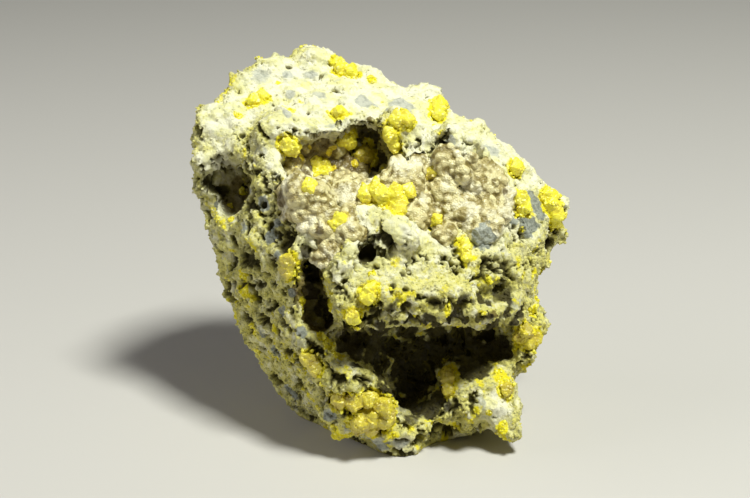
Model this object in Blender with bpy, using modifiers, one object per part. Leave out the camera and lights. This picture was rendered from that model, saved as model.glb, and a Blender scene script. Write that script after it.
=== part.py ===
import math
import random

import bmesh
import bpy
from mathutils import Euler, Vector
from mathutils.bvhtree import BVHTree

MM = 0.001

# Driving dimensions of the stone, in metres.
STONE_VOXEL = 2.4 * MM
STONE_TRIANGLES = 3050
LUMP_WIDTH = 14 * MM
LUMP_HEIGHT = 4.5 * MM
KNOT_WIDTH = 6 * MM
KNOT_HEIGHT = 2.4 * MM
CHIP_COUNT = 230
CHIP_RADIUS = 5.5
DENT_COUNT = 150
DENT_RADIUS = 4.8
CHIP_VOXEL = 1.5 * MM
CRUST_COUNT = 330
CRUST_RADIUS = 4.2
CRUST_VOXEL = 1.2 * MM
CRUST_TRIANGLES = 800
OUTSTAND = 0.15
STONE_SEED = 7
CRUST_SEED = 11
SEAT_GAP = 0.5
CRUST_GAP = 1.6
BED_VOXEL = 0.8 * MM
BED_TRIANGLES = 900

# Corners of the rough block, in mm: X to the right, Y away from the front, Z up.
CROWN = [
    (-84, 29, 154), (-74, 41, 161), (-62, 49, 166), (-45, 61, 170), (-22, 67, 169),
    (-3, 66, 160), (12, 61, 151), (39, 53, 147), (53, 46, 139), (68, 40, 128.5), (81, 32, 121), (90, 25, 111),
]
LEFT_SIDE = [(-88, 20, 144), (-91, 18, 130), (-88, 16, 112), (-84, 12, 94), (-79, 7, 73), (-69, 2, 50), (-57, 1, 31), (-39, 3, -2)]
RIGHT_SIDE = [(82, 14, 82), (80, 2, 62), (75, -12, 42), (66, -30, 12)]
FRONT_RIDGE = [(-60, -3, 145), (-41, -24, 131), (-34, -40, 108), (-27, -52, 88), (-35, -45, 54), (-22, -48, 36)]
FRONT = [(-8, -56, 80), (11, -57, 77), (35, -50, 77), (58, -38, 78), (72, -22, 80)]
BROW = [(-24, -4, 151), (5, 0, 151), (31, -6, 143), (60, 6, 132)]
FOOT = [(-28, -6, -4), (-20, -26, 8), (12, -45, -4), (29, -22, -4), (46, -37, 13), (42, -10, -4), (56, 10, -4)]
BACK = [
    (-70, 60, 138), (-35, 78, 150), (26, 75, 138), (66, 60, 108), (-62, 50, 64),
    (-20, 72, 78), (42, 68, 66), (72, 40, 60), (-34, 40, -4), (-6, 56, -4), (36, 50, -4),
]
BLOCK_CORNERS = CROWN + LEFT_SIDE + RIGHT_SIDE + FRONT_RIDGE + FRONT + BROW + FOOT + BACK

# Lumps that stand out of the block: name, centre and radii in mm.
KNOBS = [
    ("left_knob", (-54, 55, 168), (9, 9, 8)),
    ("peak", (-32, 62, 168), (12, 12, 9)),
    ("crown_middle", (-8, 62, 159), (12, 12, 8)),
    ("right_knob", (25, 54, 151), (10, 10, 8)),
    ("crown_right", (64, 38, 124), (10, 12, 6)),
    ("shoulder", (89, 21, 106), (8, 10, 7)),
    ("shoulder_low", (89, 19, 92), (6, 8, 7)),
    ("left_cheek", (-79, 23, 146), (11, 12, 12)),
    ("left_flank", (-84, 18, 125), (6, 10, 16)),
    ("brow_left", (-44, 2, 150), (16, 12, 9)),
    ("brow_middle", (10, 4, 152), (13, 10, 8)),
    ("brow_right", (40, -2, 144), (14, 10, 9)),
    ("ledge_left", (-12, -50, 85), (11, 12, 10)),
    ("ledge_middle", (6, -51, 86), (13, 12, 11)),
    ("ledge_right", (28, -48, 84), (14, 12, 9)),
    ("ledge_far", (48, -42, 77), (13, 12, 7)),
    ("front_belly", (-12, -42, 100), (13, 13, 12)),
    ("front_chest", (10, -32, 111), (15, 13, 11)),
    ("column", (-33, -22, 124), (8, 11, 13)),
    ("hanging_lump", (-8, -55, 70), (7, 9, 6)),
    ("low_left", (-15, -46, 45), (13, 10, 9)),
    ("low_foot", (-14, -42, 22), (13, 11, 12)),
    ("pillar", (14, -42, 9), (7, 7, 12)),
    ("right_foot", (61, -34, 19), (10, 11, 11)),
    ("right_foot_top", (47, -36, 24), (8, 9, 8)),
    ("right_foot_tip", (63, -36, 12), (7, 8, 6)),
    ("right_edge", (77, -8, 55), (8, 9, 8)),
    ("right_edge_low", (72, -16, 43), (8, 9, 8)),
    ("right_bump", (84, 10, 77), (5, 7, 4)),
]

# Hollows that run into the block: name, centre and radii in mm, then turns about X and Z in degrees.
HOLLOWS = [
    ("cave", (28, -46, 52), (34, 40, 18), (-10, 0)),
    ("cave_left", (-2, -51, 60), (22, 27, 12), (0, 0)),
    ("cave_right", (56, -32, 49), (19, 28, 14), (0, 0)),
    ("cave_low", (23, -52, 35), (15, 33, 18), (0, 0)),
    ("cave_well", (19, -28, 32), (14, 20, 15), (0, 0)),
    ("under_cleft", (-26, -62, 68), (10, 22, 9), (0, 0)),
    ("upper_hollow", (-4, -6, 139), (16, 28, 16), (-8, 0)),
    ("upper_left", (-23, -9, 136), (21, 28, 14), (-12, 0)),
    ("upper_floor", (-12, -28, 132), (19, 18, 10), (-20, 0)),
    ("upper_bowl", (36, -31, 126), (27, 19, 20), (-20, 0)),
    ("arch", (24, -10, 131), (8, 16, 6), (-15, 0)),
    ("left_hollow", (-73, -1, 122), (13, 23, 14), (-15, -30)),
    ("side_recess", (-22, -44, 106), (8, 10, 9), (-20, 0)),
    ("brown_recess", (-3, -48, 105), (6, 11, 10), (-20, 0)),
    ("slot", (-42, -28, 124), (4.5, 14, 9), (-20, 0)),
    ("ledge_recess", (61, -40, 81), (14, 18, 7), (-10, 0)),
    ("edge_recess", (89, 8, 71), (9, 13, 8), (-20, 20)),
    ("left_pit", (-63, -19, 61), (5, 8, 6), (-20, -20)),
    ("low_pit", (-46, -33, 35), (4, 10, 8), (-20, -20)),
    ("crown_notch", (13, 58, 162), (6, 14, 7), (0, 0)),
    ("under_right_foot", (36, -43, 4), (15, 15, 11), (0, 0)),
    ("under_left_foot", (-18, -38, 0), (13, 13, 11), (0, 0)),
]
CLEFT_CORNERS = [
    (-35, -58, 114), (-29, -58, 114), (-35, -80, 72), (-13, -80, 78),
    (-34, -20, 99), (-31, -20, 99), (-34, -28, 60), (-18, -28, 62),
]

# Where the crust of calcite grows: centre and radii of each patch, in mm.
CRUST_PATCHES = [
    ((36, -12, 122), (31, 20, 21)),
    ((0, -14, 128), (16, 14, 12)),
    ((-22, 0, 130), (21, 24, 13)),
    ((-31, -25, 123), (13, 10, 14)),
    ((-19, -33, 108), (11, 11, 13)),
]

# Each mass of sulfur grown together: the centre and size of its crystal groups, in mm.
SULFUR = {
    "sulfur_front_knot": [
        (-5, -22, 126, 5.6), (0, -21, 127, 6.2), (4, -24, 126, 5.8), (9, -24, 127, 5.4),
        (14, -23, 127, 5.2), (11, -26, 124, 5.4), (11, -29, 121, 5),
    ],
    "sulfur_arch": [(23, -6, 133, 5.2), (26, -6, 133, 5.4), (29, -6, 133, 5.2)],
    "sulfur_hollow_floor": [(-30, 11, 132, 5.4), (-26, 12, 129, 6), (-24, 10, 125, 5), (-29, 7, 127, 5.4)],
    "sulfur_hollow_left": [(-41, -8, 145, 5.4), (-39, -4, 142, 4.8)],
    "sulfur_hollow_back": [(-15, 13, 142, 5), (-12, 16, 139, 4.8)],
    "sulfur_hollow_crystal": [(-5, 17, 131, 6.5)],
    "sulfur_hollow_front": [(-30, -29, 135, 4.6), (-31, -32, 133, 4.2)],
    "sulfur_brow": [(7, -4, 151, 4.6), (8, -2, 147, 4.6), (9, -1, 143, 4.2)],
    "sulfur_pocket_upper": [(68, 14, 127, 5)],
    "sulfur_pocket_lower": [(69, 4, 114, 5.6), (71, 3, 110, 5)],
    "sulfur_shoulder": [(85, 17, 111, 5.6), (87, 14, 108, 5.6), (89, 13, 104, 5), (89, 13, 100, 4)],
    "sulfur_needle": [(42, -29, 103, 3.2), (42, -31, 101, 3.6), (43, -33, 98, 3.2)],
    "sulfur_foot": [
        (-17, -49, 32, 5.6), (-10, -50, 32, 6.2), (-3, -49, 33, 6.2), (4, -49, 29, 6.2),
        (5, -48, 22, 6.2), (-2, -49, 24, 6.2), (-8, -50, 21, 6), (-2, -48, 17, 5.4),
    ],
    "sulfur_cave_rib": [(35, -25, 35, 4.2), (36, -30, 33, 4.8), (37, -34, 30, 4.2)],
    "sulfur_left_lump": [(-40, -38, 98, 5), (-41, -38, 94, 4.8)],
    "sulfur_low_left": [(-32, -48, 51, 5), (-30, -49, 48, 4.8)],
    "sulfur_right_edge": [(71, -18, 52, 4.8), (73, -20, 55, 4.4), (75, -20, 49, 4.8), (78, -16, 50, 4.4)],
    "sulfur_crown_left": [(-59, 26, 157, 5), (-55, 28, 158, 4.4)],
    "sulfur_crown_ridge": [(-19, 58, 167, 5), (-17, 54, 166, 4.8), (-13, 53, 165, 5)],
    "sulfur_crown_middle": [(-17, 13, 154, 4.6)],
    "sulfur_crown_brow": [(13, -1, 156, 5), (10, -1, 155, 4.8), (16, -2, 156, 4)],
    "sulfur_crown_right": [(32, 44, 150, 5), (31, 40, 148, 4.6), (31, 36, 147, 4.2)],
    "sulfur_ledge": [(-4, -60, 89, 5), (-2, -58, 91, 4.4)],
    "sulfur_ledge_tip": [(-10, -58, 79, 5)],
    "sulfur_side_recess": [(-19, -35, 115, 5), (-17, -35, 117, 4.6)],
    "sulfur_bowl": [(29, -22, 113, 4.8)],
    "sulfur_right_foot": [(63, -35, 31, 4.6)],
}


def clear_scene():
    for item in list(bpy.data.objects):
        bpy.data.objects.remove(item)


def new_collection(name):
    collection = bpy.data.collections.new(name)
    bpy.context.scene.collection.children.link(collection)
    return collection


def object_from(work, name, collection):
    mesh = bpy.data.meshes.new(name)
    work.to_mesh(mesh)
    work.free()
    item = bpy.data.objects.new(name, mesh)
    collection.objects.link(item)
    return item


def hull(name, corners, collection):
    work = bmesh.new()
    for corner in corners:
        work.verts.new(Vector(corner) * MM)
    bmesh.ops.convex_hull(work, input=work.verts)
    loose = [vert for vert in work.verts if not vert.link_faces]
    bmesh.ops.delete(work, geom=loose, context="VERTS")
    bmesh.ops.recalc_face_normals(work, faces=work.faces)
    return object_from(work, name, collection)


def egg(name, centre, radii, turns, collection):
    work = bmesh.new()
    bmesh.ops.create_icosphere(work, subdivisions=3, radius=1)
    bmesh.ops.scale(work, vec=Vector(radii) * MM, verts=work.verts)
    turn = Euler((math.radians(turns[0]), 0, math.radians(turns[1]))).to_matrix()
    bmesh.ops.rotate(work, matrix=turn, verts=work.verts)
    bmesh.ops.translate(work, vec=Vector(centre) * MM, verts=work.verts)
    return object_from(work, name, collection)


def as_cutter(item):
    item.hide_render = True
    item.display_type = "WIRE"
    return item


def bake(item):
    """Puts the modified shape in place of the mesh and its modifiers."""
    graph = bpy.context.evaluated_depsgraph_get()
    shape = bpy.data.meshes.new_from_object(item.evaluated_get(graph))
    old = item.data
    item.modifiers.clear()
    item.data = shape
    bpy.data.meshes.remove(old)
    shape.name = item.name


def triangulate(item):
    work = bmesh.new()
    work.from_mesh(item.data)
    bmesh.ops.triangulate(work, faces=work.faces)
    work.to_mesh(item.data)
    work.free()


def boolean(item, other, operation):
    cut = item.modifiers.new(operation.lower(), "BOOLEAN")
    cut.operation = operation
    cut.solver = "EXACT"
    cut.object = other
    bake(item)
    triangulate(item)


def scattered_eggs(item, name, count, radius, sink, dice, collection):
    """Many small eggs of mixed size and tilt, in one object, sunk into the surface by a share of their size."""
    faces = [face for face in item.data.polygons if face.center.z > 3 * MM]
    sizes = [face.area for face in faces]
    work = bmesh.new()
    for face in dice.choices(faces, weights=sizes, k=count):
        corners = [item.data.vertices[index].co for index in face.vertices[:3]]
        shares = [dice.random() for _ in corners]
        place = sum((corner * share for corner, share in zip(corners, shares)), Vector()) / sum(shares)
        size = dice.uniform(0.55, 1.3) * radius * MM
        place -= face.normal * size * sink
        new = bmesh.ops.create_icosphere(work, subdivisions=2, radius=size)
        stretch = Vector([dice.uniform(0.6, 1.3) for _ in range(3)])
        bmesh.ops.scale(work, vec=stretch, verts=new["verts"])
        turn = Euler([dice.uniform(0, math.pi) for _ in range(3)]).to_matrix()
        bmesh.ops.rotate(work, matrix=turn, verts=new["verts"])
        bmesh.ops.translate(work, vec=place, verts=new["verts"])
    return object_from(work, name, collection)


def merge_with(item, other):
    """Adds the shape of the other object, for the next remesh to fuse."""
    work = bmesh.new()
    work.from_mesh(item.data)
    work.from_mesh(other.data)
    work.to_mesh(item.data)
    work.free()


def remesh(item, size):
    voxels = item.modifiers.new("voxels", "REMESH")
    voxels.mode = "VOXEL"
    voxels.voxel_size = size
    bake(item)


def roughen(item, kind, width, height):
    pattern = bpy.data.textures.new(item.name + "_" + kind.lower(), kind)
    pattern.noise_scale = width
    rough = item.modifiers.new("rough", "DISPLACE")
    rough.texture = pattern
    rough.texture_coords = "LOCAL"
    rough.strength = height
    rough.mid_level = 0.5
    bake(item)


def reduce_to(item, triangles):
    triangulate(item)
    fewer = item.modifiers.new("fewer", "DECIMATE")
    fewer.ratio = min(1, triangles / len(item.data.polygons))
    fewer.use_collapse_triangulate = True
    bake(item)


def keep_largest(item):
    """Drops every loose chip, and keeps the piece with the most faces."""
    work = bmesh.new()
    work.from_mesh(item.data)
    left = set(work.verts)
    pieces = []
    while left:
        piece = set()
        edge = [left.pop()]
        while edge:
            vert = edge.pop()
            piece.add(vert)
            near = [link.other_vert(vert) for link in vert.link_edges]
            fresh = [other for other in near if other in left]
            left.difference_update(fresh)
            edge.extend(fresh)
        pieces.append(piece)
    largest = max(pieces, key=len)
    loose = [vert for vert in work.verts if vert not in largest]
    bmesh.ops.delete(work, geom=loose, context="VERTS")
    work.to_mesh(item.data)
    work.free()


def cut_flat_base(item, cutters):
    """Takes away all that lies under the plane on which the specimen rests."""
    corners = [(x, y, z) for x in (-150, 150) for y in (-150, 150) for z in (-40, 0)]
    ground = hull("ground", corners, cutters)
    boolean(item, as_cutter(ground), "DIFFERENCE")
    keep_largest(item)


def paint(item, colour, roughness):
    material = bpy.data.materials.new(item.name + "_stone")
    material.use_nodes = True
    shader = material.node_tree.nodes["Principled BSDF"]
    shader.inputs["Base Color"].default_value = (*colour, 1)
    shader.inputs["Roughness"].default_value = roughness
    shader.inputs["Metallic"].default_value = 0
    item.data.materials.clear()
    item.data.materials.append(material)


def build_stone(specimen, cutters):
    dice = random.Random(STONE_SEED)
    stone = hull("limestone_matrix", BLOCK_CORNERS, specimen)
    for name, centre, radii in KNOBS:
        knob = egg(name, centre, radii, (0, 0), cutters)
        boolean(stone, as_cutter(knob), "UNION")
    chips = scattered_eggs(stone, "chips", CHIP_COUNT, CHIP_RADIUS, 0.5, dice, cutters)
    merge_with(stone, as_cutter(chips))
    remesh(stone, STONE_VOXEL)
    keep_largest(stone)
    for name, centre, radii, turns in HOLLOWS:
        hollow = egg(name, centre, radii, turns, cutters)
        boolean(stone, as_cutter(hollow), "DIFFERENCE")
    cleft = hull("cleft", CLEFT_CORNERS, cutters)
    boolean(stone, as_cutter(cleft), "DIFFERENCE")
    remesh(stone, STONE_VOXEL)
    dents = scattered_eggs(stone, "dents", DENT_COUNT, DENT_RADIUS, 0, dice, cutters)
    remesh(dents, CHIP_VOXEL)
    boolean(stone, as_cutter(dents), "DIFFERENCE")
    remesh(stone, STONE_VOXEL)
    roughen(stone, "CLOUDS", LUMP_WIDTH, LUMP_HEIGHT)
    roughen(stone, "CLOUDS", KNOT_WIDTH, KNOT_HEIGHT)
    remesh(stone, STONE_VOXEL)
    keep_largest(stone)
    reduce_to(stone, STONE_TRIANGLES)
    paint(stone, (0.62, 0.60, 0.42), 0.9)
    return stone


def inside(place, centre, radii):
    steps = [(spot / MM - middle) / radius for spot, middle, radius in zip(place, centre, radii)]
    return sum(step * step for step in steps) < 1


def crust_ground(stone, cutters):
    """The skin of the stone that lies in the patches."""
    ground = stone.copy()
    ground.data = stone.data.copy()
    ground.name = "crust_ground"
    cutters.objects.link(ground)
    work = bmesh.new()
    work.from_mesh(ground.data)
    bare = [face for face in work.faces if not in_patches(face.calc_center_median())]
    bmesh.ops.delete(work, geom=bare, context="FACES")
    work.to_mesh(ground.data)
    work.free()
    return as_cutter(ground)


def larger_copy(item, collection):
    """The same shape with its skin moved out by the gap, a little more coarsely."""
    bed = item.copy()
    bed.data = item.data.copy()
    bed.name = item.name + "_bed"
    collection.objects.link(bed)
    remesh(bed, BED_VOXEL)
    larger = bed.modifiers.new("larger", "DISPLACE")
    larger.strength = CRUST_GAP * MM
    larger.mid_level = 0
    bake(bed)
    remesh(bed, BED_VOXEL)
    keep_largest(bed)
    reduce_to(bed, BED_TRIANGLES)
    return as_cutter(bed)


def build_crust(stone, specimen, cutters):
    """One crust of rounded calcite, from eggs that overlap on the skin of the stone and are fused."""
    dice = random.Random(CRUST_SEED)
    ground = crust_ground(stone, cutters)
    crust = scattered_eggs(ground, "calcite_crust", CRUST_COUNT, CRUST_RADIUS, 0.2, dice, specimen)
    remesh(crust, CRUST_VOXEL)
    keep_largest(crust)
    reduce_to(crust, CRUST_TRIANGLES)
    paint(crust, (0.66, 0.58, 0.42), 0.45)
    boolean(stone, larger_copy(crust, cutters), "DIFFERENCE")
    keep_largest(stone)
    return crust


def in_patches(place):
    return any(inside(place, centre, radii) for centre, radii in CRUST_PATCHES)


def crystal(name, place, size, dice, collection):
    """A double pyramid on a lozenge, with both tips cut short."""
    wide = size * dice.uniform(0.95, 1.2)
    narrow = size * dice.uniform(0.75, 1.0)
    tall = size * dice.uniform(1.0, 1.3)
    tip = dice.uniform(0.3, 0.5)
    turn = Euler([dice.uniform(0, math.pi) for _ in range(3)]).to_matrix()
    ring = [(wide, 0), (0, narrow), (-wide, 0), (0, -narrow)]
    corners = [Vector((x, y, 0)) for x, y in ring]
    for side in (-1, 1):
        corners += [Vector((x * tip, y * tip, side * tall * (1 - tip))) for x, y in ring]
    return hull(name, [place + turn @ corner for corner in corners], collection)


def crystal_group(name, groups, ground, extra, specimen, cutters):
    """Crystals on the stone, each grown into the next, as one solid."""
    dice = random.Random(name)
    mass = None
    for x, y, z, size in groups:
        spot, normal, _, _ = ground.find_nearest(Vector((x, y, z)) * MM)
        place = spot / MM + normal * OUTSTAND * size
        if mass is None:
            mass = crystal(name, place, size + extra, dice, specimen)
        else:
            boolean(mass, as_cutter(crystal(name + "_next", place, size + extra, dice, cutters)), "UNION")
    return mass


def surface_of(items):
    work = bmesh.new()
    for item in items:
        work.from_mesh(item.data)
    surface = BVHTree.FromBMesh(work)
    work.free()
    return surface


def cut_beds(carrier, beds):
    """Cuts the bed of every growth in what carries it."""
    cut = carrier.modifiers.new("beds", "BOOLEAN")
    cut.operation = "DIFFERENCE"
    cut.solver = "EXACT"
    cut.operand_type = "COLLECTION"
    cut.collection = beds
    bake(carrier)
    triangulate(carrier)
    keep_largest(carrier)


def build_sulfur(name, groups, ground, specimen, beds, cutters):
    mass = crystal_group(name, groups, ground, 0, specimen, cutters)
    paint(mass, (0.86, 0.70, 0.02), 0.3)
    as_cutter(crystal_group(name, groups, ground, SEAT_GAP, beds, cutters))


def main():
    clear_scene()
    specimen = new_collection("sulfur_specimen")
    cutters = new_collection("cutters")
    beds = new_collection("beds")
    stone = build_stone(specimen, cutters)
    crust = build_crust(stone, specimen, cutters)
    ground = surface_of([stone, crust])
    for name, groups in SULFUR.items():
        build_sulfur(name, groups, ground, specimen, beds, cutters)
    cut_beds(crust, beds)
    cut_beds(stone, beds)
    cut_flat_base(stone, cutters)
    boolean(crust, stone, "DIFFERENCE")
    keep_largest(crust)


main()
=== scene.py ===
import math
import random

import bmesh
import bpy
from mathutils import Matrix, Vector, kdtree, noise
from mathutils.bvhtree import BVHTree


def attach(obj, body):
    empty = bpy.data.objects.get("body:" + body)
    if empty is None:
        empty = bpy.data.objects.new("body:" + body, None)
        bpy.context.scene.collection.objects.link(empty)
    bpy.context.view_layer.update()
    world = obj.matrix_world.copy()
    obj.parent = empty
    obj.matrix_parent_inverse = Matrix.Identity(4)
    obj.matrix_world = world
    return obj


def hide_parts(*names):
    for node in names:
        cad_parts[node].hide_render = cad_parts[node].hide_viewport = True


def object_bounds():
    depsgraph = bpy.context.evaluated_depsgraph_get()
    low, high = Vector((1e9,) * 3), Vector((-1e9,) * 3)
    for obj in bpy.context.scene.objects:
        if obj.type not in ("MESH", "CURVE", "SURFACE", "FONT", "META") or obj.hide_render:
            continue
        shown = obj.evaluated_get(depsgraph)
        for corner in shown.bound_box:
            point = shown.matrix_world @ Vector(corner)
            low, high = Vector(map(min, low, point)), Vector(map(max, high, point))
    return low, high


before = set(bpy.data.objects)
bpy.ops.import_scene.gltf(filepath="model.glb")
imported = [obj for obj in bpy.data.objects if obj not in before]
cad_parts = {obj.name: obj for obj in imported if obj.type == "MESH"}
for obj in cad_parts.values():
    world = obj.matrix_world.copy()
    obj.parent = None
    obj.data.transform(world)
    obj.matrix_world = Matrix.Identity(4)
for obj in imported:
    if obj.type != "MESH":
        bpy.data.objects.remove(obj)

# native sulfur on a block of marly limestone, with a botryoidal crust of calcite
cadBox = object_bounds()
mm = 0.001

# the camera looks down 20 degrees at the block's broad face; pixel positions below are seen from it
cameraView = {
    "width": 750,
    "height": 498,
    "focalPixels": 1845,
    "distance": 0.9,
    "elevation": 20,
    "target": (0, 0, 0.0903),
    "pixelsPerMm": 2.05,
}


# ---- small helpers

def smoothStep(low, high, value):
    share = min(max((value - low) / (high - low), 0), 1)
    return share * share * (3 - 2 * share)


def linear(hexColour):
    channels = [int(hexColour[i:i + 2], 16) / 255 for i in (1, 3, 5)]
    return [c / 12.92 if c <= 0.04045 else ((c + 0.055) / 1.055) ** 2.4 for c in channels] + [1]


def copyOf(nodeName, pieceName):
    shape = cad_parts[nodeName].data.copy()
    work = bmesh.new()
    work.from_mesh(shape)
    bmesh.ops.remove_doubles(work, verts=work.verts, dist=0.005 * mm)
    work.to_mesh(shape)
    work.free()
    shape.materials.clear()
    piece = bpy.data.objects.new(pieceName, shape)
    bpy.context.scene.collection.objects.link(piece)
    return piece


def applyModifiers(piece):
    graph = bpy.context.evaluated_depsgraph_get()
    shape = bpy.data.meshes.new_from_object(piece.evaluated_get(graph))
    piece.modifiers.clear()
    oldShape = piece.data
    piece.data = shape
    bpy.data.meshes.remove(oldShape)


def remesh(piece, voxel):
    change = piece.modifiers.new("evenMesh", "REMESH")
    change.mode = "VOXEL"
    change.voxel_size = voxel
    applyModifiers(piece)


def grow(piece, distance):
    change = piece.modifiers.new("grow", "DISPLACE")
    change.strength = distance
    change.mid_level = 0
    applyModifiers(piece)


def relax(piece, rounds):
    change = piece.modifiers.new("relax", "SMOOTH")
    change.factor = 0.5
    change.iterations = rounds
    applyModifiers(piece)


def thinBack(piece, most):
    # the side that faces away keeps fewer triangles
    triangles = len(piece.data.polygons) * 2
    if triangles <= most:
        return
    group = piece.vertex_groups.new(name="away")
    for vertex in piece.data.vertices:
        group.add([vertex.index], smoothStep(-0.2, 0.5, vertex.normal.y) * 0.7 + 0.3, "REPLACE")
    change = piece.modifiers.new("thin", "DECIMATE")
    change.ratio = most / triangles
    change.vertex_group = "away"
    change.use_collapse_triangulate = True
    applyModifiers(piece)


def meshTree(pieces):
    work = bmesh.new()
    for piece in pieces:
        work.from_mesh(piece.data)
    tree = BVHTree.FromBMesh(work)
    work.free()
    return tree


def cameraAxes():
    tilt = math.radians(cameraView["elevation"])
    forward = Vector((0, math.cos(tilt), -math.sin(tilt)))
    up = Vector((0, math.sin(tilt), math.cos(tilt)))
    return forward, Vector((1, 0, 0)), up


def seenAt(tree, pixel):
    forward, right, up = cameraAxes()
    start = Vector(cameraView["target"]) - forward * cameraView["distance"]
    across = pixel[0] - cameraView["width"] / 2
    upward = cameraView["height"] / 2 - pixel[1]
    direction = (forward * cameraView["focalPixels"] + right * across + up * upward).normalized()
    point, normal, index, distance = tree.ray_cast(start, direction)
    return point, normal


def meshFrom(work):
    shape = bpy.data.meshes.new("batch")
    work.to_mesh(shape)
    work.free()
    return shape


def joined(name, shapes):
    work = bmesh.new()
    for shape in shapes:
        work.from_mesh(shape)
        bpy.data.meshes.remove(shape)
    whole = meshFrom(work)
    whole.name = name
    return whole


def placed(name, shape):
    low, high = cadBox
    for vertex in shape.vertices:
        vertex.co = [min(max(vertex.co[i], low[i]), high[i]) for i in range(3)]
    piece = bpy.data.objects.new(name, shape)
    bpy.context.scene.collection.objects.link(piece)
    return piece


def pointIndex(points):
    found = kdtree.KDTree(len(points))
    for number, point in enumerate(points):
        found.insert(point, number)
    found.balance()
    return found


def moveAll(shape, moves):
    # nothing leaves the box of the solids
    low, high = cadBox
    for vertex, move in zip(shape.vertices, moves):
        moved = vertex.co + move
        vertex.co = [min(max(moved[i], low[i]), high[i]) for i in range(3)]


def addField(shape, name, values):
    field = shape.attributes.new(name, "FLOAT", "POINT")
    field.data.foreach_set("value", values)


# ---- how open each place is

def opennessOf(pieces, voxel=3.2 * mm, reach=32 * mm, rays=20):
    tree = meshTree(pieces)
    coarse = bpy.data.objects.new("coarse", bpy.data.meshes.new("coarse"))
    work = bmesh.new()
    for piece in pieces:
        work.from_mesh(piece.data)
    work.to_mesh(coarse.data)
    work.free()
    bpy.context.scene.collection.objects.link(coarse)
    remesh(coarse, voxel)
    relax(coarse, 2)
    dice = random.Random(4)
    directions = []
    for index in range(rays):
        height = 1 - 2 * (index + 0.5) / rays
        turn = index * 2.39996
        spread = math.sqrt(1 - height * height)
        directions.append(Vector((spread * math.cos(turn), spread * math.sin(turn), height)))
    samples = []
    for vertex in coarse.data.vertices:
        start = vertex.co + vertex.normal * 1.2 * mm
        total = 0
        free = 0
        for direction in directions:
            facing = direction.dot(vertex.normal)
            if facing < 0.1:
                continue
            total += facing
            hit = tree.ray_cast(start, direction, reach)
            free += facing if hit[0] is None else facing * hit[3] / reach * 0.6
        samples.append(free / total if total else 0)
    index = pointIndex([vertex.co for vertex in coarse.data.vertices])
    normals = [vertex.normal.copy() for vertex in coarse.data.vertices]
    bpy.data.meshes.remove(coarse.data)
    return index, samples, normals


# ---- features placed from the camera

# each: pixel, radius in pixels, strength
yellowStains = {
    "topBackLeft": [(254, 103, 6, 0.9), (265, 96, 6, 0.9), (238, 115, 5, 0.8), (278, 82, 4, 0.6), (262, 88, 4, 0.6)],
    "topBackRight": [(335, 62, 6, 0.9), (343, 70, 6, 0.9), (350, 75, 7, 0.9), (372, 78, 6, 0.9), (383, 100, 4, 0.5)],
    "topMiddle": [(300, 101, 5, 0.5), (340, 112, 5, 0.6), (342, 118, 5, 0.6), (402, 117, 8, 0.6), (394, 122, 6, 0.6)],
    "topHole": [(440, 108, 6, 0.9), (438, 117, 5, 0.8), (436, 125, 5, 0.8), (440, 131, 4, 0.7)],
    "upperHollow": [(288, 145, 9, 0.9), (318, 160, 10, 1), (312, 178, 10, 0.9), (346, 140, 8, 0.8), (388, 138, 5, 0.8)],
    "belowKnot": [(370, 202, 10, 0.7), (398, 206, 8, 0.9), (436, 219, 6, 0.8), (345, 215, 7, 0.5)],
    "leftFlank": [(233, 220, 4, 0.7), (231, 251, 4, 0.6), (246, 275, 4, 0.6), (247, 307, 4, 0.7), (243, 192, 5, 0.8),
                  (231, 205, 5, 0.7), (288, 265, 7, 0.8), (281, 178, 4, 0.5)],
    "ledge": [(335, 225, 6, 0.8), (372, 275, 6, 0.7), (368, 297, 6, 0.7), (354, 316, 6, 0.8), (345, 262, 5, 0.5),
              (395, 262, 8, 0.5), (430, 245, 8, 0.4), (445, 290, 6, 0.5), (480, 268, 6, 0.5)],
    "right": [(513, 168, 7, 0.8), (518, 200, 8, 0.9), (549, 200, 11, 1), (556, 218, 6, 0.8), (524, 230, 5, 0.6),
              (534, 311, 8, 0.8), (523, 336, 8, 0.9), (536, 338, 7, 0.9), (530, 347, 6, 0.7), (494, 175, 6, 0.5)],
    "cave": [(450, 382, 9, 0.9), (444, 360, 6, 0.5), (507, 390, 6, 0.8), (489, 412, 5, 0.7), (467, 417, 5, 0.7),
             (503, 428, 8, 0.8), (520, 372, 6, 0.6)],
    "foot": [(309, 365, 10, 0.8), (343, 400, 12, 0.9), (368, 412, 16, 0.9), (385, 425, 10, 0.8), (345, 372, 12, 0.5)],
}

greyPatches = {
    "topPatches": [(364, 102, 12, 0.9), (400, 104, 14, 0.9), (288, 75, 7, 0.7), (290, 95, 6, 0.8), (288, 112, 6, 0.8),
                   (310, 75, 7, 0.7), (448, 140, 8, 0.8), (490, 150, 12, 0.8), (260, 74, 12, 0.6), (320, 95, 8, 0.6),
                   (330, 125, 7, 0.6), (470, 160, 8, 0.5)],
    "leftPatches": [(280, 255, 9, 0.6), (262, 150, 7, 0.5), (225, 240, 7, 0.4), (290, 390, 10, 0.8), (275, 350, 9, 0.6),
                    (262, 330, 8, 0.5), (300, 345, 8, 0.5), (243, 225, 6, 0.5)],
    "rightPatches": [(506, 215, 7, 0.7), (545, 240, 7, 0.6), (515, 303, 8, 0.6), (480, 402, 9, 0.6)],
    "footPatches": [(378, 444, 14, 0.8), (401, 445, 9, 0.7), (350, 425, 8, 0.5), (330, 415, 8, 0.6)],
}

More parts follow.
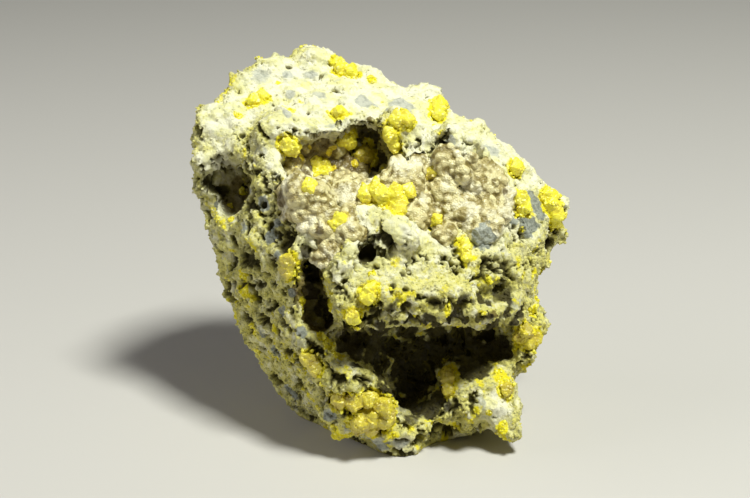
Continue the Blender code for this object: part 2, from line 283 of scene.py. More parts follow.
slatePatches = {
    "right": [(532, 204, 13, 1), (528, 224, 13, 1), (481, 236, 14, 1), (540, 214, 8, 0.8), (514, 222, 7, 0.6)],
    "left": [(280, 256, 9, 0.6), (290, 392, 11, 0.7), (276, 352, 9, 0.6), (244, 228, 7, 0.5), (262, 334, 8, 0.5),
             (262, 204, 9, 0.7), (271, 236, 9, 0.8), (276, 222, 7, 0.6), (292, 292, 8, 0.6), (282, 312, 8, 0.5),
             (303, 332, 8, 0.6), (214, 206, 6, 0.5)],
    "foot": [(350, 427, 8, 0.5), (330, 417, 9, 0.6), (383, 446, 9, 0.5)],
}

# clean lumps, kept free of the olive flank colour and its painted shade
creamLumps = {
    "middle": [(345, 232, 11, 0.9), (365, 228, 10, 0.9), (338, 272, 12, 0.8), (350, 245, 9, 0.6), (412, 236, 10, 0.8),
               (435, 246, 10, 0.8), (392, 224, 9, 0.7), (470, 262, 9, 0.5)],
    "left": [(212, 150, 18, 0.8), (228, 140, 16, 0.8), (275, 160, 14, 0.8), (285, 190, 10, 0.6), (258, 345, 14, 0.5)],
    "low": [(498, 408, 18, 1), (488, 422, 12, 0.8), (345, 368, 12, 0.5), (402, 443, 12, 0.9), (515, 395, 10, 0.8)],
}

# painted shadow in the recesses, under the ledge and in the cave, drawn in near-black brown; each: pixel, radius in
# pixels, strength
paintedShadowSpots = {
    "cleft": [(305, 252, 7, 0.8), (309, 272, 8, 0.9), (314, 292, 9, 1), (321, 308, 9, 1), (331, 322, 9, 0.9)],
    "underLedge": [(352, 334, 14, 0.9), (380, 332, 14, 1), (408, 332, 14, 1), (436, 332, 14, 1), (464, 330, 14, 1),
                   (492, 326, 12, 0.9), (514, 322, 9, 0.8)],
    "cave": [(372, 350, 22, 1), (400, 360, 26, 1), (424, 356, 24, 1), (412, 385, 26, 1), (424, 408, 18, 1),
             (400, 402, 16, 0.9), (470, 350, 24, 1), (498, 348, 18, 0.9), (472, 372, 18, 0.9), (446, 345, 16, 1),
             (383, 330, 14, 1), (385, 345, 14, 1), (384, 362, 12, 1), (440, 395, 14, 0.9), (382, 378, 12, 1),
             (387, 392, 11, 0.9), (362, 345, 12, 0.8)],
    "lip": [(352, 322, 6, 0.8), (366, 323, 6, 0.8), (380, 323, 6, 0.9), (394, 323, 6, 0.9), (408, 323, 6, 0.9),
            (422, 322, 6, 0.9), (436, 322, 6, 0.9), (450, 321, 6, 0.9), (464, 320, 6, 0.9), (478, 318, 6, 0.9),
            (492, 316, 6, 0.8), (506, 313, 6, 0.8)],
    "belowLip": [(342, 346, 11, 0.7), (356, 350, 12, 0.8), (370, 358, 12, 0.9), (380, 370, 10, 0.9), (358, 366, 9, 0.6),
                 (430, 412, 11, 0.8), (448, 404, 9, 0.6), (410, 418, 9, 0.6)],
    "small": [(285, 200, 9, 0.8), (245, 318, 7, 0.8), (278, 380, 8, 0.8), (500, 193, 7, 0.7), (549, 246, 8, 0.8),
              (499, 292, 14, 0.6), (366, 253, 12, 1), (423, 172, 11, 0.7), (392, 308, 9, 0.6), (374, 312, 9, 0.6)],
    "upperHollow": [(322, 148, 14, 0.9), (368, 136, 16, 0.9), (350, 162, 15, 0.9), (376, 160, 12, 0.9), (296, 153, 11, 0.8),
                    (308, 163, 12, 0.9), (336, 168, 12, 0.9), (302, 174, 8, 0.7), (322, 180, 7, 0.6)],
    "ledgeEnd": [(440, 305, 8, 0.6), (462, 302, 9, 0.7), (484, 300, 10, 0.8), (506, 298, 9, 0.8), (430, 316, 8, 0.7),
                 (455, 314, 9, 0.8), (520, 310, 8, 0.8)],
}

# yellow knobs and films on the calcite
crustStains = {
    "hollowRim": [(288, 146, 6, 1), (299, 158, 5, 1), (314, 175, 6, 1), (318, 160, 6, 1), (330, 149, 5, 1), (345, 143, 6, 1),
                  (333, 172, 5, 1), (356, 166, 6, 1), (308, 147, 4, 0.9), (388, 140, 6, 0.8), (372, 176, 5, 0.9),
                  (345, 157, 5, 0.9), (293, 169, 4, 0.9)],
    "middle": [(371, 203, 12, 0.6), (398, 207, 10, 0.9), (345, 216, 7, 0.6), (437, 220, 7, 0.7), (338, 224, 6, 0.7),
               (420, 196, 6, 0.5), (285, 180, 6, 0.5)],
}

# big rounded mounds of calcite; each: pixel, radius in pixels
crustMounds = {
    "left": [(327, 198, 9), (312, 190, 7), (300, 203, 7), (296, 186, 6), (345, 190, 7), (358, 183, 7), (338, 206, 6),
             (318, 214, 7), (292, 174, 6), (304, 226, 6), (322, 232, 6)],
    "middle": [(425, 210, 10), (440, 191, 9), (408, 212, 7), (476, 206, 7), (455, 207, 7), (398, 172, 9), (384, 182, 6)],
    "right": [(460, 175, 10), (440, 165, 9), (480, 180, 9), (496, 192, 8), (470, 222, 8), (490, 212, 8), (448, 232, 7),
              (425, 178, 8)],
}

# each: pixel, radius in pixels, depth in mm
holes = {
    "top": [(289, 66, 4, 2.5), (294, 104, 3, 2), (297, 117, 3, 2), (240, 133, 4, 2.5), (404, 119, 4, 3), (440, 101, 4, 3.5),
            (352, 120, 3, 2)],
    "left": [(234, 262, 5, 3), (250, 245, 4, 2.5), (245, 318, 7, 5), (278, 380, 8, 5), (285, 200, 8, 5), (226, 190, 7, 3),
             (262, 205, 4, 3), (270, 225, 4, 3), (258, 285, 5, 3), (275, 305, 5, 3), (262, 350, 5, 3)],
    "ledge": [(367, 254, 8, 6), (393, 285, 4, 3), (403, 274, 4, 2.5), (407, 289, 4, 3), (418, 298, 4, 3), (407, 308, 6, 4), (433, 304, 7, 4),
              (456, 282, 4, 2.5), (345, 292, 4, 2.5), (380, 305, 4, 3)],
    "right": [(500, 193, 7, 4), (549, 246, 7, 4), (515, 226, 3, 2.5), (470, 195, 4, 2.5)],
}


def spotList(table):
    return [spot for spots in table.values() for spot in spots]


def spotStrength(table, tree, index, count, wobble, seed):
    strengths = [0.0] * count
    for x, y, radius, strength in spotList(table):
        centre = seenAt(tree, (x, y))[0]
        if centre is None:
            continue
        reach = radius / cameraView["pixelsPerMm"] * mm
        for point, vertex, distance in index.find_range(centre, reach * 1.6):
            edge = 1 + wobble * noise.noise(point * 260 + Vector((seed, 0, 0)))
            here = strength * smoothStep(1.25, 0.55, distance / reach / edge)
            strengths[vertex] = max(strengths[vertex], here)
    return strengths


# ---- limestone

stoneLook = {
    "voxel": 0.95 * mm,
    "mostTriangles": 196000,
    "lumpWidth": 11 * mm,
    "lumpHeight": 2.5 * mm,
    "knobWidth": 6.5 * mm,
    "knobHeight": 1.6 * mm,
    "grainWidth": 2.6 * mm,
    "grainHeight": 0.5 * mm,
    "pitWidth": 3.6 * mm,
    "pitStretch": 1.8,
    "pitRag": 1.4 * mm,
    "pitRagWidth": 2.1 * mm,
    "pitDepth": 2.4 * mm,
    "gapWidth": 9.5 * mm,
    "gapDepth": 4.0 * mm,
    "fineWidth": 1.7 * mm,
    "fineHeight": 0.5 * mm,
    "stainReach": 5 * mm,
    "veinWidth": 9 * mm,
}


def pitSpace(point, width):
    # pits run down to the right on the flank, so the pattern is stretched along that line
    along = Vector((0.5, -0.45, -0.74))
    stretched = point - along * point.dot(along) * (1 - 1 / stoneLook["pitStretch"])
    return stretched / width


def roundedCells(point, width, height):
    # lumps with sharp creases between them
    warp = noise.noise_vector(point / width * 0.7) * 0.35
    return (0.5 - noise.voronoi(point / width + warp)[0][0]) * 2 * height


def stoneRelief(point, flank, ledge, top, smooth):
    look = stoneLook
    lump = noise.fractal(point / look["lumpWidth"], 0.8, 2.1, 3) * look["lumpHeight"]
    knob = roundedCells(point, look["knobWidth"], look["knobHeight"]) * (0.35 + 0.65 * ledge + 0.3 * flank)
    grain = roundedCells(point + Vector((0.3, 0, 0)), look["grainWidth"], look["grainHeight"])
    ragged = point + noise.noise_vector(point / look["pitRagWidth"]) * look["pitRag"]
    pit = noise.fractal(pitSpace(ragged, look["pitWidth"]), 0.7, 2.2, 3)
    gap = noise.fractal(pitSpace(ragged, look["gapWidth"]) + Vector((5, 2, 8)), 0.7, 2.3, 3)
    bare = 0.22 * noise.noise(point / (26 * mm) + Vector((3, 1, 9)))
    start = 0.32 - 0.18 * flank - 0.10 * ledge + 0.22 * top + 0.5 * smooth + bare
    hollow = smoothStep(start, start + 0.3, pit)
    start = 0.38 - 0.14 * flank - 0.18 * ledge + 0.3 * top + 0.5 * smooth + bare
    deepGap = smoothStep(start, start + 0.28, gap)
    fine = noise.fractal(point / look["fineWidth"], 0.6, 2.0, 2) * look["fineHeight"]
    height = (lump + knob + grain + fine) * (1 - 0.75 * smooth)
    height -= hollow * look["pitDepth"] + deepGap * look["gapDepth"]
    return height, max(hollow, deepGap)


def dressStone(openness, sightTree, sulfurTree):
    piece = copyOf("limestone_matrix", "limestoneBlock")
    remesh(piece, stoneLook["voxel"])
    shape = piece.data
    index = pointIndex([vertex.co for vertex in shape.vertices])
    count = len(shape.vertices)
    stain = spotStrength(yellowStains, sightTree, index, count, 0.5, 3)
    marl = spotStrength(greyPatches, sightTree, index, count, 0.5, 9)
    slate = spotStrength(slatePatches, sightTree, index, count, 0.5, 13)
    # painted shadow spots
    paintedShadow = spotStrength(paintedShadowSpots, sightTree, index, count, 0.6, 5)
    cream = spotStrength(creamLumps, sightTree, index, count, 0.4, 17)
    drilled = [0.0] * count
    for x, y, radius, depth in spotList(holes):
        centre = seenAt(sightTree, (x, y))[0]
        if centre is None:
            continue
        reach = radius / cameraView["pixelsPerMm"] * mm
        for point, vertex, distance in index.find_range(centre, reach * 1.5):
            drilled[vertex] = max(drilled[vertex], depth * mm * smoothStep(1.3, 0.4, distance / reach))
    openIndex, openShares, broadNormals = openness
    pits = []
    opens = []
    flanks = []
    moves = []
    for vertex in shape.vertices:
        point = vertex.co
        around = [found[1] for found in openIndex.find_n(point, 3)]
        share = sum(openShares[i] for i in around) / 3
        broad = sum((broadNormals[i] for i in around), Vector()).normalized()
        flank = max(smoothStep(0.1, 0.55, -broad.x), 0.6 * smoothStep(0.1, 0.6, broad.y))
        top = smoothStep(0.45, 0.8, broad.z)
        ledge = smoothStep(0.3, 0.7, -broad.y) * (1 - flank) * (1 - top)
        if broad.y > 0.2:
            wild = 0.5 + 0.5 * noise.noise(point * 28 + Vector((7, 3, 1)))
            marl[vertex.index] = max(marl[vertex.index], 0.8 * smoothStep(0.55, 0.7, wild))
            yellow = 0.5 + 0.5 * noise.noise(point * 45 + Vector((2, 8, 5)))
            stain[vertex.index] = max(stain[vertex.index], 0.8 * smoothStep(0.66, 0.74, yellow))
        beside = sulfurTree.find_nearest(point, stoneLook["stainReach"])[3]
        if beside is not None:
            near = smoothStep(stoneLook["stainReach"], 0.5 * mm, beside) * (0.75 + 0.5 * noise.noise(point * 300))
            stain[vertex.index] = max(stain[vertex.index], near)
        smooth = max(0.75 * marl[vertex.index], 0.75 * slate[vertex.index], 0.65 * cream[vertex.index])
        height, hollow = stoneRelief(point, flank, ledge, top, smooth)
        height -= drilled[vertex.index]
        onFloor = smoothStep(0.2 * mm, 3 * mm, point.z)
        moves.append(vertex.normal * height * onFloor)
        pits.append(max(hollow, min(drilled[vertex.index] / (2.5 * mm), 1)))
        opens.append(share)
        # the lower part and the flank get the olive flank colour: partly the stone's own olive, partly painted shade on
        # the side and bottom away from the key light
        low = smoothStep(114 * mm, 84 * mm, point.z) * smoothStep(0.5, -0.1, broad.y)
        flank = max(flank * 0.85, low) * (1 - cream[vertex.index])
        flanks.append(flank)
        vein = 0.5 + 0.5 * noise.fractal(pitSpace(point, stoneLook["veinWidth"]) + Vector((4, 6, 1)), 0.7, 2.2, 3)
        clean = flank * (1 - paintedShadow[vertex.index])
        stain[vertex.index] = max(stain[vertex.index], 0.62 * clean * smoothStep(0.5 - 0.08 * ledge, 0.78, vein))
    moveAll(shape, moves)
    for name, values in (("pit", pits), ("open", opens), ("flank", flanks), ("stain", stain), ("marl", marl),
                         ("paintedShadow", paintedShadow), ("slate", slate)):
        addField(shape, name, values)
    thinBack(piece, stoneLook["mostTriangles"])
    piece.data.shade_smooth()
    return piece


# ---- calcite crust

crustLook = {
    "voxel": 0.62 * mm,
    "seatGap": 1.2 * mm,
    "moundSquash": 0.8,
    "moundSink": 0.25,
    "bumpSize": (0.9 * mm, 3.0 * mm),
    "bumpApart": 0.62,
    "mostBumps": 1500,
    "sugarWidth": 1.1 * mm,
    "sugarHeight": 0.16 * mm,
    "seed": 5,
}


def openShare(openness, point):
    around = [found[1] for found in openness[0].find_n(point, 3)]
    return sum(openness[1][i] for i in around) / 3


def bumpPlaces(shape, dice):
    # big bumps first, then smaller ones in the room between them
    look = crustLook
    least, most = look["bumpSize"]
    cell = most * 2
    order = list(range(len(shape.vertices)))
    dice.shuffle(order)
    around = [(x, y, z) for x in (-1, 0, 1) for y in (-1, 0, 1) for z in (-1, 0, 1)]
    taken = {}
    chosen = []
    for share in (1, 0.75, 0.55, 0.4):
        for index in order[:int(len(order) * 0.5)]:
            point = shape.vertices[index].co
            mound = 0.75 + 0.5 * noise.noise(point / (10 * mm))
            size = max(least, most * share * mound * dice.uniform(0.8, 1.1))
            key = [int(value // cell) for value in point]
            others = [other for step in around
                      for other in taken.get(tuple(k + move for k, move in zip(key, step)), [])]
            if any((point - place).length < (size + width) * look["bumpApart"] for place, width in others):
                continue
            taken.setdefault(tuple(key), []).append((point.copy(), size))
            chosen.append((index, size))
            if len(chosen) == look["mostBumps"]:
                return chosen
    return chosen


def dressCrust(openness, sightTree):
    look = crustLook
    piece = copyOf("calcite_crust", "calciteCrust")
    remesh(piece, look["voxel"])
    grow(piece, look["seatGap"])
    work = bmesh.new()
    for x, y, radius in spotList(crustMounds):
        centre, normal = seenAt(sightTree, (x, y))
        size = radius / cameraView["pixelsPerMm"] * mm
        squash = Matrix.Diagonal((size, size, size * look["moundSquash"], 1))
        place = Matrix.Translation(centre - normal * size * look["moundSink"]) @ normal.to_track_quat("Z", "Y").to_matrix().to_4x4()
        bmesh.ops.create_icosphere(work, subdivisions=3, radius=1, matrix=place @ squash)
    piece.data = joined("calciteCrust", [piece.data.copy(), meshFrom(work)])
    remesh(piece, look["voxel"])
    bare = meshTree([piece])
    shape = piece.data
    dice = random.Random(look["seed"])
    batches = [shape.copy()]
    chosen = bumpPlaces(shape, dice)
    for first in range(0, len(chosen), 60):
        work = bmesh.new()
        for index, size in chosen[first:first + 60]:
            vertex = shape.vertices[index]
            squash = Matrix.Diagonal((size, size * dice.uniform(0.8, 1.1), size * dice.uniform(0.8, 1.15), 1))
            turn = Matrix.Rotation(dice.uniform(0, 6.28), 4, Vector([dice.gauss(0, 1) for _ in range(3)]))
            place = Matrix.Translation(vertex.co - vertex.normal * size * 0.25) @ turn @ squash
            bmesh.ops.create_icosphere(work, subdivisions=2, radius=1, matrix=place)
        batches.append(meshFrom(work))
    piece.data = joined("calciteCrust", batches)
    remesh(piece, look["voxel"])
    shape = piece.data
    bumps = []
    opens = []
    moves = []
    seats = []
    for vertex in shape.vertices:
        point = vertex.co
        spot, normal, face, apart = bare.find_nearest(point)
        rise = (point - spot).dot(normal)
        seats.append(spot)
        bumps.append(smoothStep(0.2 * mm, 1.6 * mm, rise))
        opens.append(openShare(openness, point))
        moves.append(vertex.normal * noise.fractal(point / look["sugarWidth"], 0.6, 2, 2) * look["sugarHeight"])
    index = pointIndex(seats)
    count = len(seats)
    tables = (("paintedShadow", paintedShadowSpots), ("slate", slatePatches), ("stain", crustStains))
    for seed, (name, table) in enumerate(tables):
        addField(shape, name, spotStrength(table, sightTree, index, count, 0.6, 30 + seed))
    moveAll(shape, moves)
    addField(shape, "bump", bumps)
    addField(shape, "open", opens)
    shape.shade_smooth()
    return piece


# ---- sulfur

sulfurLook = {
    "voxel": 0.65 * mm,
    "seatGap": 0.45 * mm,
    "facetWidth": 2.4 * mm,
    "facetTilt": 0.28,
    "grainWidth": 1.3 * mm,
    "grainHeight": 0.16 * mm,
}


def facetHeight(point, width, tilt):
    # every cell of the pattern is a flat face with its own slope
    distances, centres = noise.voronoi(point / width)
    slope = noise.cell_vector(centres[0] * 3.1)
    return (point / width - centres[0]).dot(slope) * width * tilt


def dressSulfur(name):
    piece = copyOf(name, name.replace("_", "-"))
    remesh(piece, sulfurLook["voxel"])
    grow(piece, sulfurLook["seatGap"])
    shape = piece.data
    moves = []
    for vertex in shape.vertices:
        point = vertex.co
        height = facetHeight(point, sulfurLook["facetWidth"], sulfurLook["facetTilt"])
        height += noise.noise(point / sulfurLook["grainWidth"]) * sulfurLook["grainHeight"]
        moves.append(vertex.normal * height)
    moveAll(shape, moves)
    return piece


# ---- grains

grainLook = {
    "sulfurCount": 2600,
    "sulfurSize": (0.45 * mm, 1.15 * mm),
    "stoneCount": 9500,
    "stoneSize": (0.35 * mm, 0.85 * mm),
    "seed": 21,
}


stoneFields = ("stain", "marl", "pit", "open", "flank", "paintedShadow", "slate")


def scatterGrains(carrier, name, count, sizes, wanted, seed):
    # small crystals stand half sunk in the carrier wherever the wanted test says so
    dice = random.Random(seed)
    shape = carrier.data
    fields = {key: shape.attributes[key].data for key in stoneFields}
    chosen = []
    tries = 0
    while len(chosen) < count and tries < count * 60:
        tries += 1
        index = dice.randrange(len(shape.vertices))
        values = {key: data[index].value for key, data in fields.items()}
        if shape.vertices[index].co.z > 4 * mm and dice.random() < wanted(values):
            chosen.append((index, values))
    perVertex = {key: [] for key in fields}
    batches = []
    for first in range(0, len(chosen), 80):
        work = bmesh.new()
        for index, values in chosen[first:first + 80]:
            vertex = shape.vertices[index]
            size = dice.uniform(*sizes)
            turn = Matrix.Rotation(dice.uniform(0, 6.28), 4, Vector([dice.gauss(0, 1) for _ in range(3)]))
            stretch = Matrix.Diagonal((size, size * dice.uniform(0.6, 1), size * dice.uniform(0.7, 1.3), 1))
            place = Matrix.Translation(vertex.co - vertex.normal * size * 0.1) @ turn @ stretch
            made = bmesh.ops.create_icosphere(work, subdivisions=1, radius=1, matrix=place)["verts"]
            for key in fields:
                perVertex[key] += [values[key]] * len(made)
        batches.append(meshFrom(work))
    grains = joined(name, batches)
    for key, values in perVertex.items():
        addField(grains, key, values)
    return placed(name, grains)


# ---- materials

def addNode(tree, kind, values=None, links=None):
    node = tree.nodes.new(kind)
    for name, value in (values or {}).items():
        if name in node.inputs:
            node.inputs[name].default_value = value
        else:
            setattr(node, name, value)
    for name, source in (links or {}).items():
        tree.links.new(source, node.inputs[name])
    return node


def newMaterial(name):
    material = bpy.data.materials.new(name)
    material.use_nodes = True
    material.node_tree.nodes.clear()
    return material, material.node_tree


def mixColour(tree, share, first, second):
    node = addNode(tree, "ShaderNodeMix", {"data_type": "RGBA"})
    for socket, source in ((node.inputs[0], share), (node.inputs[6], first), (node.inputs[7], second)):
        if isinstance(source, (list, float, int)):
            socket.default_value = source
        else:
            tree.links.new(source, socket)
    return node.outputs[2]


def ramp(tree, source, low, high):
    node = addNode(tree, "ShaderNodeMapRange", {"interpolation_type": "SMOOTHSTEP"}, {"Value": source})
    node.inputs["From Min"].default_value = low
    node.inputs["From Max"].default_value = high
    return node.outputs["Result"]


def times(tree, first, second):
    node = addNode(tree, "ShaderNodeMath", {"operation": "MULTIPLY"})
    for socket, source in ((node.inputs[0], first), (node.inputs[1], second)):
        if isinstance(source, (float, int)):
            socket.default_value = source
        else:
            tree.links.new(source, socket)
    return node.outputs[0]


def plus(tree, first, second):
    node = addNode(tree, "ShaderNodeMath", {"operation": "ADD"})
    for socket, source in ((node.inputs[0], first), (node.inputs[1], second)):
        if isinstance(source, (float, int)):
            socket.default_value = source
        else:
            tree.links.new(source, socket)
    return node.outputs[0]


def noiseAt(tree, place, width, detail=3, rough=0.6):
    # width is the size of one blotch
    node = addNode(tree, "ShaderNodeTexNoise", {"Scale": 1 / width, "Detail": detail, "Roughness": rough},
                   {"Vector": place})
    return node.outputs["Fac"]


def field(tree, name):
    return addNode(tree, "ShaderNodeAttribute", {"attribute_name": name}).outputs["Fac"]


# limestone with marl, IOR 1.58, dull
limestoneColours = {
    "cream": "#F8F5DA",
    "paleYellow": "#EDE89A",
    "lemon": "#E3D93C",
    "greySpeck": "#C8C9B2",
    # flank colours: partly the stone's own olive, partly painted shade
    "flankOchre": "#DED672",
    "flankOlive": "#9A964E",
    "marlGrey": "#D2D2C2",
    "marlDark": "#ADAFA1",
    "stain": "#F2E428",
    # brownish colour of the hollows with painted shade
    "recessBrownAndShade": "#6E5D2C",
    "slateLight": "#AAADA0",
    "slateDark": "#84887E",
    # painted shadow
    "shadowPaint": "#2A200C",
    # painted shade in the pits: olive at the edges, near-black inside
    "pitEdgeShade": "#7D7531",
    "pit": "#2B2509",
}


def limestoneMaterial():
    material, tree = newMaterial("marlyLimestone")
    c = {name: linear(value) for name, value in limestoneColours.items()}
    place = addNode(tree, "ShaderNodeTexCoord").outputs["Object"]
    blotch = ramp(tree, noiseAt(tree, place, 0.009), 0.42, 0.62)
    speck = ramp(tree, noiseAt(tree, place, 0.0022, 2), 0.5, 0.66)
    colour = mixColour(tree, times(tree, blotch, 0.7), c["cream"], c["paleYellow"])
    lemon = ramp(tree, noiseAt(tree, place, 0.0038, 3), 0.53, 0.66)
    lemonShare = plus(tree, times(tree, field(tree, "flank"), 0.5), 0.3)
    colour = mixColour(tree, times(tree, lemon, lemonShare), colour, c["lemon"])
    greySpeck = ramp(tree, noiseAt(tree, place, 0.0045, 4), 0.56, 0.64)
    colour = mixColour(tree, times(tree, greySpeck, 0.45), colour, c["greySpeck"])
    # olive on the flank and the lower part: partly the stone's own colour, partly painted shade
    flankColourAndShade = mixColour(tree, speck, c["flankOchre"], c["flankOlive"])
    patchy = ramp(tree, noiseAt(tree, place, 0.006, 3), 0.26, 0.56)
    colour = mixColour(tree, times(tree, times(tree, field(tree, "flank"), 0.86), patchy), colour, flankColourAndShade)
    marlEdge = ramp(tree, plus(tree, field(tree, "marl"), times(tree, noiseAt(tree, place, 0.0025, 4), 0.6)), 0.5, 1.05)
    marlTone = mixColour(tree, ramp(tree, noiseAt(tree, place, 0.003), 0.4, 0.65), c["marlGrey"], c["marlDark"])
    colour = mixColour(tree, marlEdge, colour, marlTone)
    slateEdge = ramp(tree, plus(tree, field(tree, "slate"), times(tree, noiseAt(tree, place, 0.002), 0.5)), 0.55, 0.8)
    slateTone = mixColour(tree, ramp(tree, noiseAt(tree, place, 0.003), 0.4, 0.65), c["slateLight"], c["slateDark"])
    colour = mixColour(tree, slateEdge, colour, slateTone)
    # darker brown where the stone is enclosed: partly the brownish colour inside the hollows, partly painted shade
    deep = ramp(tree, field(tree, "open"), 0.74, 0.42)
    colour = mixColour(tree, times(tree, deep, 0.9), colour, c["recessBrownAndShade"])
    # painted shadow: near-black brown over the shadow spots
    shadowPaint = ramp(tree, plus(tree, field(tree, "paintedShadow"), times(tree, noiseAt(tree, place, 0.004, 4), 0.6)), 0.45, 1.0)
    colour = mixColour(tree, times(tree, shadowPaint, 0.92), colour, c["shadowPaint"])
    stainEdge = ramp(tree, plus(tree, field(tree, "stain"), times(tree, noiseAt(tree, place, 0.0018), 0.7)), 0.7, 1.0)
    colour = mixColour(tree, stainEdge, colour, c["stain"])
    # painted shade in the pits: olive at their edges, near-black deeper in
    ragged = times(tree, field(tree, "pit"), plus(tree, noiseAt(tree, place, 0.0015, 4), 0.5))
    colour = mixColour(tree, times(tree, ramp(tree, ragged, 0.2, 0.6), 0.75), colour, c["pitEdgeShade"])
    colour = mixColour(tree, times(tree, ramp(tree, ragged, 0.5, 0.95), 0.85), colour, c["pit"])
    grit = noiseAt(tree, place, 0.0013, 6, 0.82)
    cells = addNode(tree, "ShaderNodeTexVoronoi", {"Scale": 620}, {"Vector": place})
    height = plus(tree, grit, times(tree, cells.outputs["Distance"], -0.45))
    bump = addNode(tree, "ShaderNodeBump", {"Strength": 0.8, "Distance": 0.0013}, {"Height": height})
    shader = addNode(tree, "ShaderNodeBsdfPrincipled", {"Roughness": 0.88, "IOR": 1.58, "Specular IOR Level": 0.2},
                     {"Base Color": colour, "Normal": bump.outputs["Normal"]})
    addNode(tree, "ShaderNodeOutputMaterial", {}, {"Surface": shader.outputs["BSDF"]})
    return material


# calcite, IOR 1.6, sparry with a sugary glitter
calciteColours = {
    "bump": "#E3D9A4",
    # darker colour between the bumps: painted shade
    "grooveShade": "#85753A",
    "tint": "#C6B67C",
    "cream": "#F2ECCC",
    # brownish colour of the hollows with painted shade; also the colour of the painted shadow spots
    "deep": "#5E4C1C",
    "film": "#E3CD2A",
    "slateLight": "#AAADA0",
    "slateDark": "#84887E",
}


def calciteMaterial():
    material, tree = newMaterial("calcite")
    c = {name: linear(value) for name, value in calciteColours.items()}
    place = addNode(tree, "ShaderNodeTexCoord").outputs["Object"]
    # painted shade between the bumps: darker where the crust rises least
    colour = mixColour(tree, ramp(tree, field(tree, "bump"), 0.1, 0.8), c["grooveShade"], c["bump"])
    colour = mixColour(tree, times(tree, ramp(tree, noiseAt(tree, place, 0.007), 0.4, 0.65), 0.6), colour, c["tint"])
    colour = mixColour(tree, times(tree, ramp(tree, noiseAt(tree, place, 0.012), 0.5, 0.62), 0.8), colour, c["cream"])
    # darker brown where the crust is enclosed: partly its brownish colour in the hollows, partly painted shade
    deep = ramp(tree, field(tree, "open"), 0.66, 0.3)
    colour = mixColour(tree, times(tree, deep, 0.85), colour, c["deep"])
    # painted shadow: dark brown on the calcite over the shadow spots
    paintedShadow = ramp(tree, plus(tree, field(tree, "paintedShadow"), times(tree, noiseAt(tree, place, 0.003), 0.6)), 0.45, 0.95)
    colour = mixColour(tree, times(tree, paintedShadow, 0.88), colour, c["deep"])
    film = ramp(tree, plus(tree, field(tree, "stain"), times(tree, noiseAt(tree, place, 0.002), 0.7)), 0.75, 1.1)
    colour = mixColour(tree, times(tree, film, 0.92), colour, c["film"])
    slateEdge = ramp(tree, plus(tree, field(tree, "slate"), times(tree, noiseAt(tree, place, 0.002), 0.5)), 0.6, 0.9)
    slateTone = mixColour(tree, ramp(tree, noiseAt(tree, place, 0.003), 0.4, 0.65), c["slateLight"], c["slateDark"])
    colour = mixColour(tree, slateEdge, colour, slateTone)
    cells = addNode(tree, "ShaderNodeTexVoronoi", {"Scale": 1100}, {"Vector": place})
    bump = addNode(tree, "ShaderNodeBump", {"Strength": 0.8, "Distance": 0.0006}, {"Height": cells.outputs["Distance"]})
    shader = addNode(tree, "ShaderNodeBsdfPrincipled", {"Roughness": 0.35, "IOR": 1.6},
                     {"Base Color": colour, "Normal": bump.outputs["Normal"]})
    addNode(tree, "ShaderNodeOutputMaterial", {}, {"Surface": shader.outputs["BSDF"]})
    return material


# native sulfur, IOR 1.96, resinous
brightSulfur = {"body": "#F3EA34", "pale": "#F6F38C", "warm": "#E8D72C"}
# darker copy of the sulfur colours for lumps in shade: painted shade
shadedSulfurColours = {"body": "#D6C72A", "pale": "#E0D870", "warm": "#B5A01E"}


def sulfurMaterial(name, colours):
    material, tree = newMaterial(name)
    c = {tone: linear(value) for tone, value in colours.items()}
    place = addNode(tree, "ShaderNodeTexCoord").outputs["Object"]
    colour = mixColour(tree, ramp(tree, noiseAt(tree, place, 0.005), 0.4, 0.65), c["body"], c["warm"])
    colour = mixColour(tree, times(tree, ramp(tree, noiseAt(tree, place, 0.0025), 0.55, 0.7), 0.6), colour, c["pale"])
    bump = addNode(tree, "ShaderNodeBump", {"Strength": 0.3, "Distance": 0.0004},
                   {"Height": noiseAt(tree, place, 0.0009)})
    shader = addNode(tree, "ShaderNodeBsdfPrincipled", {"Roughness": 0.48, "IOR": 1.96, "Subsurface Weight": 0.3, "Subsurface Scale": 0.0012,
                      "Subsurface Radius": (1, 0.95, 0.3)},
                     {"Base Color": colour, "Normal": bump.outputs["Normal"]})
    addNode(tree, "ShaderNodeOutputMaterial", {}, {"Surface": shader.outputs["BSDF"]})
    return material


# ---- studio

studioLook = {
    "floorColour": "#C8C4C1",
    "worldColour": "#E6E6E2",
    "worldStrength": 0.06,
    "keyPlace": (0.60, -0.60, 1.80),
    "keySize": 0.4,
    "keyPower": 52,
    "keyColour": "#FAFEF4",
    "fillPlace": (-1.1, -0.1, 0.65),
    "fillSize": 0.9,
    "fillPower": 4.2,
}


def aimed(name, place, target):
    light = bpy.data.lights.new(name, "AREA")
    lamp = bpy.data.objects.new(name, light)
    lamp.location = place
    lamp.rotation_euler = (Vector(target) - Vector(place)).to_track_quat("-Z", "Y").to_euler()
    bpy.context.scene.collection.objects.link(lamp)
    return light


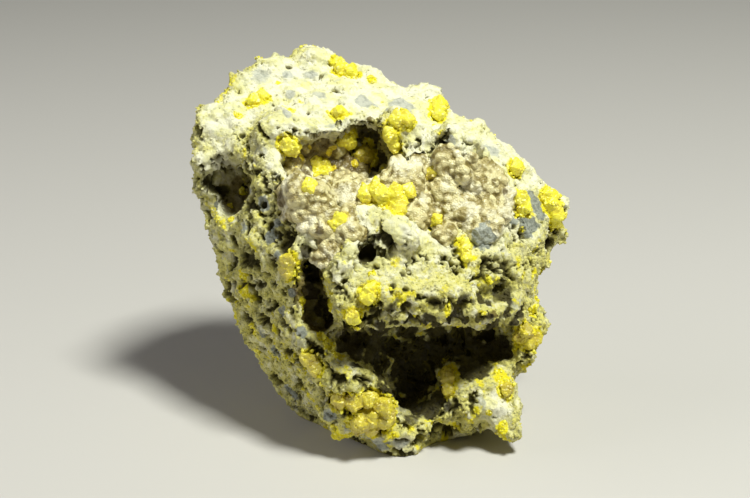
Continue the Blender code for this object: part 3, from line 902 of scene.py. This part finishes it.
def addStudio():
    look = studioLook
    work = bmesh.new()
    bmesh.ops.create_grid(work, x_segments=1, y_segments=1, size=3)
    shape = bpy.data.meshes.new("floor")
    work.to_mesh(shape)
    work.free()
    floor = bpy.data.objects.new("floor", shape)
    bpy.context.scene.collection.objects.link(floor)
    # painted board
    material, tree = newMaterial("floorPaint")
    shader = addNode(tree, "ShaderNodeBsdfPrincipled", {"Roughness": 0.7, "Base Color": linear(look["floorColour"])})
    addNode(tree, "ShaderNodeOutputMaterial", {}, {"Surface": shader.outputs["BSDF"]})
    shape.materials.append(material)
    key = aimed("keyLight", look["keyPlace"], (0, 0, 0.08))
    key.size = look["keySize"]
    key.energy = look["keyPower"]
    key.color = linear(look["keyColour"])[:3]
    fill = aimed("fillLight", look["fillPlace"], (0, 0, 0.08))
    fill.size = look["fillSize"]
    fill.energy = look["fillPower"]
    world = bpy.data.worlds.new("studio")
    world.use_nodes = True
    background = world.node_tree.nodes["Background"]
    background.inputs["Color"].default_value = linear(look["worldColour"])
    background.inputs["Strength"].default_value = look["worldStrength"]
    bpy.context.scene.world = world
    bpy.context.scene.view_settings.view_transform = "Standard"


def addCamera():
    lens = bpy.data.cameras.new("camera")
    lens.sensor_width = 36
    lens.lens = cameraView["focalPixels"] * 36 / cameraView["width"]
    camera = bpy.data.objects.new("camera", lens)
    forward = cameraAxes()[0]
    camera.location = Vector(cameraView["target"]) - forward * cameraView["distance"]
    camera.rotation_euler = (math.radians(90 - cameraView["elevation"]), 0, 0)
    bpy.context.scene.collection.objects.link(camera)
    bpy.context.scene.camera = camera


# ---- build

stoneNodes = [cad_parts["limestone_matrix"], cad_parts["calcite_crust"]]
sulfurNames = sorted(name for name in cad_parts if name.startswith("sulfur_"))
openness = opennessOf(stoneNodes)
sightTree = meshTree(stoneNodes)
print("openness read")

sulfurTree = meshTree([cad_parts[name] for name in sulfurNames])
limestone = dressStone(openness, sightTree, sulfurTree)
limestone.data.materials.append(limestoneMaterial())
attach(limestone, "root")
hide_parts("limestone_matrix")
print("limestone", len(limestone.data.polygons))

look = grainLook
sulfurGrains = scatterGrains(limestone, "sulfurGrains", look["sulfurCount"], look["sulfurSize"],
                             lambda v: smoothStep(0.45, 0.8, v["stain"]) * (1 - v["pit"]), look["seed"])
stoneGrains = scatterGrains(limestone, "limestoneGrains", look["stoneCount"], look["stoneSize"],
                            lambda v: (1 - smoothStep(0.3, 0.6, v["marl"])) * (1 - v["pit"] * 0.8) * (0.3 + 0.7 * v["flank"]),
                            look["seed"] + 1)
stoneGrains.data.materials.append(limestone.data.materials[0])
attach(stoneGrains, "root")
print("grains", len(sulfurGrains.data.polygons), len(stoneGrains.data.polygons))

crust = dressCrust(openness, sightTree)
crust.data.materials.append(calciteMaterial())
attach(crust, "root")
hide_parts("calcite_crust")
print("calcite", len(crust.data.polygons))

bright = sulfurMaterial("nativeSulfur", brightSulfur)
# a darker copy of the sulfur for the lumps in shade: painted shade
shadedSulfur = sulfurMaterial("nativeSulfurShaded", shadedSulfurColours)
shaded = ("foot", "cave_rib", "low_left", "left_lump", "right_edge", "right_foot", "arch", "hollow_crystal")
sulfurGrains.data.materials.append(bright)
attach(sulfurGrains, "root")
for name in sulfurNames:
    lump = dressSulfur(name)
    lump.data.materials.append(shadedSulfur if name.removeprefix("sulfur_") in shaded else bright)
    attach(lump, "root")
    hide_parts(name)
print("sulfur", len(sulfurNames))

addStudio()
addCamera()
